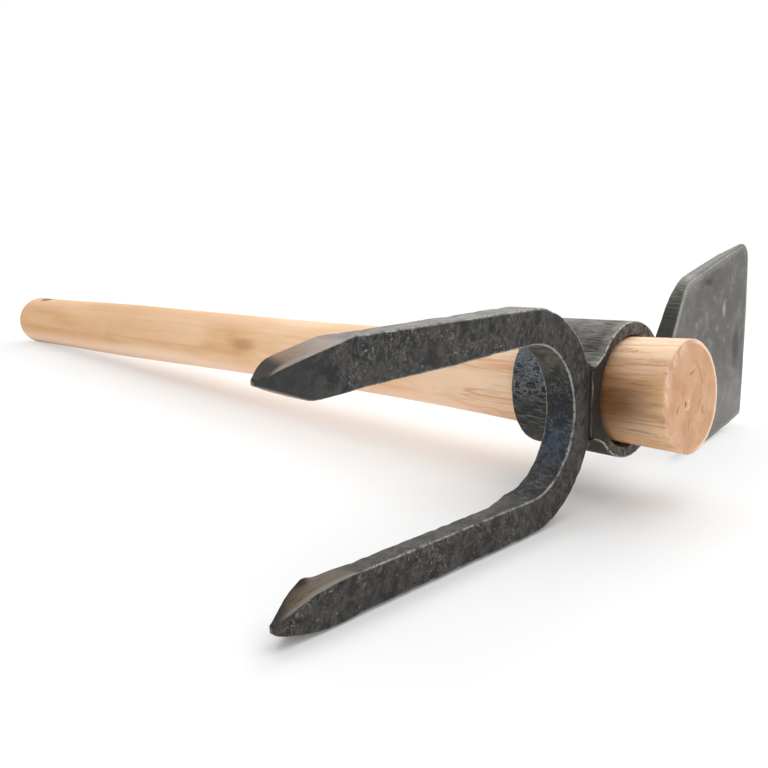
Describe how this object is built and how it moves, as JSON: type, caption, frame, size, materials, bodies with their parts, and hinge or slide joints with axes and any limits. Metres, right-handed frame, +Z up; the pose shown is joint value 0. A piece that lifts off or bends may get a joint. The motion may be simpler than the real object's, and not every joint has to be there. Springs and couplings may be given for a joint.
{
  "type": "cultivator hoe",
  "caption": "One-handed cultivator hoe with a turned wooden handle through a steel eye, a tined fork on one side and a flat hoe blade on the other.",
  "frame": {"origin": "on the floor, under the middle of the bounding box, with the tool lying as it rests by itself on the bend of the fork, the lower side of the blade and the butt of the handle", "axes": "+X along the tool from the sawn stub towards the butt, +Y from the handle towards the tine tips, +Z up"},
  "size_m": [0.4116, 0.286, 0.0779],
  "materials": {
    "wood": "bare turned softwood, sanded",
    "ring_steel": "dark scale with grind lines",
    "fork_steel": "dark forging scale, ground at the tips",
    "blade_steel": "dull grey rolled steel",
    "weld_metal": "dark weld metal"
  },
  "bodies": {
    "root": {"handle": "wood", "eye_ring": "ring_steel", "fork": "fork_steel", "hoe_blade": "blade_steel", "fork_weld": "weld_metal", "blade_weld": "weld_metal"}
  },
  "joints": []
}
